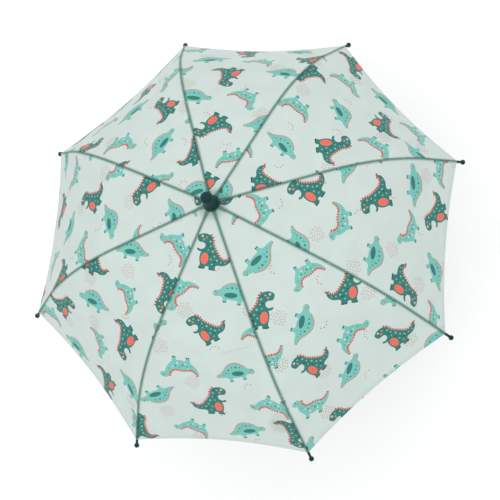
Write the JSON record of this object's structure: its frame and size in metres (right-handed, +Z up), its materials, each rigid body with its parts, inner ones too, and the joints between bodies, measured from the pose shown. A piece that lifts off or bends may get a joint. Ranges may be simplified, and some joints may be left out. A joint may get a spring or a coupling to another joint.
{
  "type": "children's stick umbrella",
  "caption": "Children's stick umbrella with a printed dome canopy, folding ribs on a sliding runner, round tips and a crook handle.",
  "frame": {"origin": "the middle of the handle's straight grip, on the stick's axis", "axes": "+Z runs up the stick to the cap; +X is the side the crook bends to; stored open"},
  "size_m": [0.6916, 0.6916, 0.6305],
  "materials": {
    "tube_steel": "plated steel tube, satin",
    "handle_plastic": "smooth moulded plastic, dark green",
    "collar_metal": "bright plated ring",
    "cap_plastic": "smooth moulded plastic, dark green",
    "rosette_cloth": "dark green woven cloth, pinked edge",
    "lining_cloth": "pale green woven cloth, unprinted",
    "hub_plastic": "moulded plastic, satin",
    "wire_steel": "bare steel wire",
    "runner_plastic": "moulded plastic, dark green",
    "spring_steel": "bare spring steel",
    "rib_metal": "dark painted steel",
    "tip_plastic": "smooth moulded plastic, dark green",
    "canopy_cloth": "pale mint woven polyester with a dinosaur print",
    "label_cloth": "white satin ribbon, blank",
    "strap_cloth": "pale mint woven polyester, doubled"
  },
  "bodies": {
    "stick": {"shaft": "tube_steel", "handle": "handle_plastic", "handle_collar": "collar_metal", "ferrule_cap": "cap_plastic", "top_rosette": "rosette_cloth", "under_rosette": "lining_cloth", "top_notch": "hub_plastic", "notch_wire": "wire_steel"},
    "rib_1": {"rib_inner_1": "rib_metal", "canopy_sector_1": "canopy_cloth"},
    "rib_2": {"rib_inner_2": "rib_metal", "canopy_sector_2": "canopy_cloth"},
    "rib_3": {"rib_inner_3": "rib_metal", "canopy_sector_3": "canopy_cloth"},
    "rib_4": {"rib_inner_4": "rib_metal", "canopy_sector_4": "canopy_cloth"},
    "rib_5": {"rib_inner_5": "rib_metal", "canopy_sector_5": "canopy_cloth"},
    "rib_6": {"rib_inner_6": "rib_metal", "canopy_sector_6": "canopy_cloth"},
    "rib_7": {"rib_inner_7": "rib_metal", "canopy_sector_7": "canopy_cloth"},
    "rib_8": {"rib_inner_8": "rib_metal", "canopy_sector_8": "canopy_cloth"},
    "rib_end_1": {"rib_outer_1": "rib_metal", "rib_tip_1": "tip_plastic"},
    "rib_end_2": {"rib_outer_2": "rib_metal", "rib_tip_2": "tip_plastic"},
    "rib_end_3": {"rib_outer_3": "rib_metal", "rib_tip_3": "tip_plastic"},
    "rib_end_4": {"rib_outer_4": "rib_metal", "rib_tip_4": "tip_plastic"},
    "rib_end_5": {"rib_outer_5": "rib_metal", "rib_tip_5": "tip_plastic"},
    "rib_end_6": {"rib_outer_6": "rib_metal", "rib_tip_6": "tip_plastic", "care_label": "label_cloth", "tie_strap": "strap_cloth"},
    "rib_end_7": {"rib_outer_7": "rib_metal", "rib_tip_7": "tip_plastic"},
    "rib_end_8": {"rib_outer_8": "rib_metal", "rib_tip_8": "tip_plastic"},
    "strut_1": {"stretcher_1": "rib_metal"},
    "strut_2": {"stretcher_2": "rib_metal"},
    "strut_3": {"stretcher_3": "rib_metal"},
    "strut_4": {"stretcher_4": "rib_metal"},
    "strut_5": {"stretcher_5": "rib_metal"},
    "strut_6": {"stretcher_6": "rib_metal"},
    "strut_7": {"stretcher_7": "rib_metal"},
    "strut_8": {"stretcher_8": "rib_metal"},
    "slider": {"runner": "runner_plastic", "runner_wire": "wire_steel"},
    "upper_catch": {"catch_top": "spring_steel"},
    "lower_catch": {"catch_bottom": "spring_steel"}
  },
  "joints": [
    {"name": "rib_fold_1", "type": "hinge", "parent": "stick", "child": "rib_1", "pos_m": [0.01109, 0.00459, 0.505], "axis": [-0.3827, 0.9239, 0], "range_deg": [0, 74.5], "deforming": ["canopy_sector_1"]},
    {"name": "rib_fold_2", "type": "hinge", "parent": "stick", "child": "rib_2", "pos_m": [0.00459, 0.01109, 0.505], "axis": [-0.9239, 0.3827, 0], "range_deg": [0, 74.5], "deforming": ["canopy_sector_2"]},
    {"name": "rib_fold_3", "type": "hinge", "parent": "stick", "child": "rib_3", "pos_m": [-0.00459, 0.01109, 0.505], "axis": [-0.9239, -0.3827, 0], "range_deg": [0, 74.5], "deforming": ["canopy_sector_3"]},
    {"name": "rib_fold_4", "type": "hinge", "parent": "stick", "child": "rib_4", "pos_m": [-0.01109, 0.00459, 0.505], "axis": [-0.3827, -0.9239, 0], "range_deg": [0, 74.5], "deforming": ["canopy_sector_4"]},
    {"name": "rib_fold_5", "type": "hinge", "parent": "stick", "child": "rib_5", "pos_m": [-0.01109, -0.00459, 0.505], "axis": [0.3827, -0.9239, 0], "range_deg": [0, 74.5], "deforming": ["canopy_sector_5"]},
    {"name": "rib_fold_6", "type": "hinge", "parent": "stick", "child": "rib_6", "pos_m": [-0.00459, -0.01109, 0.505], "axis": [0.9239, -0.3827, 0], "range_deg": [0, 74.5], "deforming": ["canopy_sector_6", "care_label", "tie_strap"]},
    {"name": "rib_fold_7", "type": "hinge", "parent": "stick", "child": "rib_7", "pos_m": [0.00459, -0.01109, 0.505], "axis": [0.9239, 0.3827, 0], "range_deg": [0, 74.5], "deforming": ["canopy_sector_7"]},
    {"name": "rib_fold_8", "type": "hinge", "parent": "stick", "child": "rib_8", "pos_m": [0.01109, -0.00459, 0.505], "axis": [0.3827, 0.9239, 0], "range_deg": [0, 74.5], "deforming": ["canopy_sector_8"]},
    {"name": "rib_flex_1", "type": "hinge", "parent": "rib_1", "child": "rib_end_1", "pos_m": [0.19577, 0.08109, 0.4586], "axis": [-0.3827, 0.9239, 0], "range_deg": [-27, 0]},
    {"name": "rib_flex_2", "type": "hinge", "parent": "rib_2", "child": "rib_end_2", "pos_m": [0.08109, 0.19577, 0.4586], "axis": [-0.9239, 0.3827, 0], "range_deg": [-27, 0]},
    {"name": "rib_flex_3", "type": "hinge", "parent": "rib_3", "child": "rib_end_3", "pos_m": [-0.08109, 0.19577, 0.4586], "axis": [-0.9239, -0.3827, 0], "range_deg": [-27, 0]},
    {"name": "rib_flex_4", "type": "hinge", "parent": "rib_4", "child": "rib_end_4", "pos_m": [-0.19577, 0.08109, 0.4586], "axis": [-0.3827, -0.9239, 0], "range_deg": [-27, 0]},
    {"name": "rib_flex_5", "type": "hinge", "parent": "rib_5", "child": "rib_end_5", "pos_m": [-0.19577, -0.08109, 0.4586], "axis": [0.3827, -0.9239, 0], "range_deg": [-27, 0]},
    {"name": "rib_flex_6", "type": "hinge", "parent": "rib_6", "child": "rib_end_6", "pos_m": [-0.08109, -0.19577, 0.4586], "axis": [0.9239, -0.3827, 0], "range_deg": [-27, 0]},
    {"name": "rib_flex_7", "type": "hinge", "parent": "rib_7", "child": "rib_end_7", "pos_m": [0.08109, -0.19577, 0.4586], "axis": [0.9239, 0.3827, 0], "range_deg": [-27, 0]},
    {"name": "rib_flex_8", "type": "hinge", "parent": "rib_8", "child": "rib_end_8", "pos_m": [0.19577, -0.08109, 0.4586], "axis": [0.3827, 0.9239, 0], "range_deg": [-27, 0]},
    {"name": "strut_pivot_1", "type": "hinge", "parent": "rib_1", "child": "strut_1", "pos_m": [0.14432, 0.05978, 0.47171], "axis": [-0.3827, 0.9239, 0], "range_deg": [-149, 0]},
    {"name": "strut_pivot_2", "type": "hinge", "parent": "rib_2", "child": "strut_2", "pos_m": [0.05978, 0.14432, 0.47171], "axis": [-0.9239, 0.3827, 0], "range_deg": [-149, 0]},
    {"name": "strut_pivot_3", "type": "hinge", "parent": "rib_3", "child": "strut_3", "pos_m": [-0.05978, 0.14432, 0.47171], "axis": [-0.9239, -0.3827, 0], "range_deg": [-149, 0]},
    {"name": "strut_pivot_4", "type": "hinge", "parent": "rib_4", "child": "strut_4", "pos_m": [-0.14432, 0.05978, 0.47171], "axis": [-0.3827, -0.9239, 0], "range_deg": [-149, 0]},
    {"name": "strut_pivot_5", "type": "hinge", "parent": "rib_5", "child": "strut_5", "pos_m": [-0.14432, -0.05978, 0.47171], "axis": [0.3827, -0.9239, 0], "range_deg": [-149, 0]},
    {"name": "strut_pivot_6", "type": "hinge", "parent": "rib_6", "child": "strut_6", "pos_m": [-0.05978, -0.14432, 0.47171], "axis": [0.9239, -0.3827, 0], "range_deg": [-149, 0]},
    {"name": "strut_pivot_7", "type": "hinge", "parent": "rib_7", "child": "strut_7", "pos_m": [0.05978, -0.14432, 0.47171], "axis": [0.9239, 0.3827, 0], "range_deg": [-149, 0]},
    {"name": "strut_pivot_8", "type": "hinge", "parent": "rib_8", "child": "strut_8", "pos_m": [0.14432, -0.05978, 0.47171], "axis": [0.3827, 0.9239, 0], "range_deg": [-149, 0]},
    {"name": "runner_pivot", "type": "hinge", "parent": "strut_1", "child": "slider", "pos_m": [0.01109, 0.00459, 0.43841], "axis": [-0.3827, 0.9239, 0], "range_deg": [0, 74.5]},
    {"name": "upper_catch_press", "type": "slide", "parent": "stick", "child": "upper_catch", "axis": [-1, 0, 0], "range_m": [0, 0.0026], "stiffness_N_per_m": 500, "springref_m": -0.003},
    {"name": "lower_catch_press", "type": "slide", "parent": "stick", "child": "lower_catch", "axis": [-1, 0, 0], "range_m": [0, 0.0026], "stiffness_N_per_m": 500, "springref_m": -0.003}
  ],
  "couplings": [
    {"joint": "rib_fold_2", "follows": "rib_fold_1", "ratio": 1},
    {"joint": "rib_fold_3", "follows": "rib_fold_1", "ratio": 1},
    {"joint": "rib_fold_4", "follows": "rib_fold_1", "ratio": 1},
    {"joint": "rib_fold_5", "follows": "rib_fold_1", "ratio": 1},
    {"joint": "rib_fold_6", "follows": "rib_fold_1", "ratio": 1},
    {"joint": "rib_fold_7", "follows": "rib_fold_1", "ratio": 1},
    {"joint": "rib_fold_8", "follows": "rib_fold_1", "ratio": 1},
    {"joint": "rib_flex_1", "follows": "rib_fold_1", "ratio": -0.36242},
    {"joint": "rib_flex_2", "follows": "rib_fold_1", "ratio": -0.36242},
    {"joint": "rib_flex_3", "follows": "rib_fold_1", "ratio": -0.36242},
    {"joint": "rib_flex_4", "follows": "rib_fold_1", "ratio": -0.36242},
    {"joint": "rib_flex_5", "follows": "rib_fold_1", "ratio": -0.36242},
    {"joint": "rib_flex_6", "follows": "rib_fold_1", "ratio": -0.36242},
    {"joint": "rib_flex_7", "follows": "rib_fold_1", "ratio": -0.36242},
    {"joint": "rib_flex_8", "follows": "rib_fold_1", "ratio": -0.36242},
    {"joint": "strut_pivot_1", "follows": "rib_fold_1", "ratio": -2},
    {"joint": "strut_pivot_2", "follows": "rib_fold_1", "ratio": -2},
    {"joint": "strut_pivot_3", "follows": "rib_fold_1", "ratio": -2},
    {"joint": "strut_pivot_4", "follows": "rib_fold_1", "ratio": -2},
    {"joint": "strut_pivot_5", "follows": "rib_fold_1", "ratio": -2},
    {"joint": "strut_pivot_6", "follows": "rib_fold_1", "ratio": -2},
    {"joint": "strut_pivot_7", "follows": "rib_fold_1", "ratio": -2},
    {"joint": "strut_pivot_8", "follows": "rib_fold_1", "ratio": -2},
    {"joint": "runner_pivot", "follows": "rib_fold_1", "ratio": 1}
  ]
}
